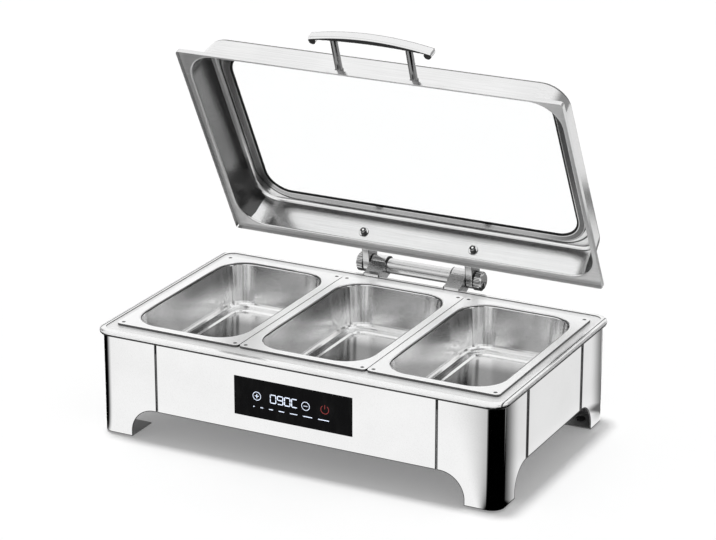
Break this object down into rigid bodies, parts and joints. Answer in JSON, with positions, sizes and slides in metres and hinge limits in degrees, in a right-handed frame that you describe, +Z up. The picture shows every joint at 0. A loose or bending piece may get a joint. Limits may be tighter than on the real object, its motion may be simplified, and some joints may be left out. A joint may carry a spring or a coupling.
{
  "type": "electric chafing dish",
  "caption": "Rectangular electric food warmer: polished base on corner legs, lift-out food pans over a water bath, touch panel, and a hinged lid with a window and an arched handle.",
  "frame": {"origin": "on the table, at the middle of the base's footprint", "axes": "+X to the right seen from the front, +Y to the hinge at the back, +Z up"},
  "size_m": [0.566, 0.3782, 0.5139],
  "materials": {
    "polished_steel": "mirror-polished stainless steel",
    "satin_steel": "satin stainless steel",
    "plain_steel": "mill-finish steel",
    "screw_steel": "bright steel",
    "black_rubber": "matt rubber",
    "window_glass": "clear toughened glass",
    "control_glass": "black back-painted glass",
    "black_plastic": "moulded, fine grain",
    "circuit_board": "solder mask",
    "display_face": "smoked face",
    "spreader_aluminium": "rolled",
    "heater_sheath": "oxidised sheath",
    "brass": "plain",
    "pale_plastic": "moulded",
    "wire_insulation": "silicone rubber"
  },
  "bodies": {
    "base": {"front_panel": "polished_steel", "back_panel": "polished_steel", "left_panel": "polished_steel", "right_panel": "polished_steel", "leg_front_left": "polished_steel", "leg_front_right": "polished_steel", "leg_back_left": "polished_steel", "leg_back_right": "polished_steel", "rubber_feet": "black_rubber", "top_frame": "polished_steel", "water_pan": "satin_steel", "food_pan_left": "satin_steel", "food_pan_middle": "satin_steel", "food_pan_right": "satin_steel", "bottom_plate": "plain_steel", "bottom_screws": "screw_steel", "heat_spreader": "spreader_aluminium", "heating_element": "heater_sheath", "heater_clamps": "plain_steel", "thermal_cutout": "pale_plastic", "temperature_probe": "plain_steel", "control_glass": "control_glass", "control_housing": "black_plastic", "control_board": "circuit_board", "display_module": "display_face", "power_inlet": "black_plastic", "inlet_pins": "brass", "inlet_screws": "screw_steel", "mains_wire": "wire_insulation", "heater_wires": "wire_insulation", "sensor_wire": "wire_insulation", "hinge_bracket_left": "polished_steel", "hinge_bracket_right": "polished_steel", "bracket_screws": "screw_steel", "hinge_barrel": "polished_steel", "hinge_bushes": "brass", "friction_sleeve": "pale_plastic"},
    "lid": {"lid_shell": "satin_steel", "lid_glass": "window_glass", "glass_gasket": "black_rubber", "hinge_arm_left": "polished_steel", "hinge_arm_right": "polished_steel", "arm_bolts": "screw_steel", "arm_washers": "screw_steel", "hinge_shaft": "plain_steel", "end_cap_left": "polished_steel", "end_cap_right": "polished_steel", "handle_bar": "polished_steel", "handle_post_left": "polished_steel", "handle_post_right": "polished_steel", "handle_screws": "screw_steel"}
  },
  "joints": [
    {"name": "lid_hinge", "type": "hinge", "parent": "base", "child": "lid", "pos_m": [0, 0.194, 0.149], "axis": [-1, 0, 0], "range_deg": [-62, 28]}
  ]
}
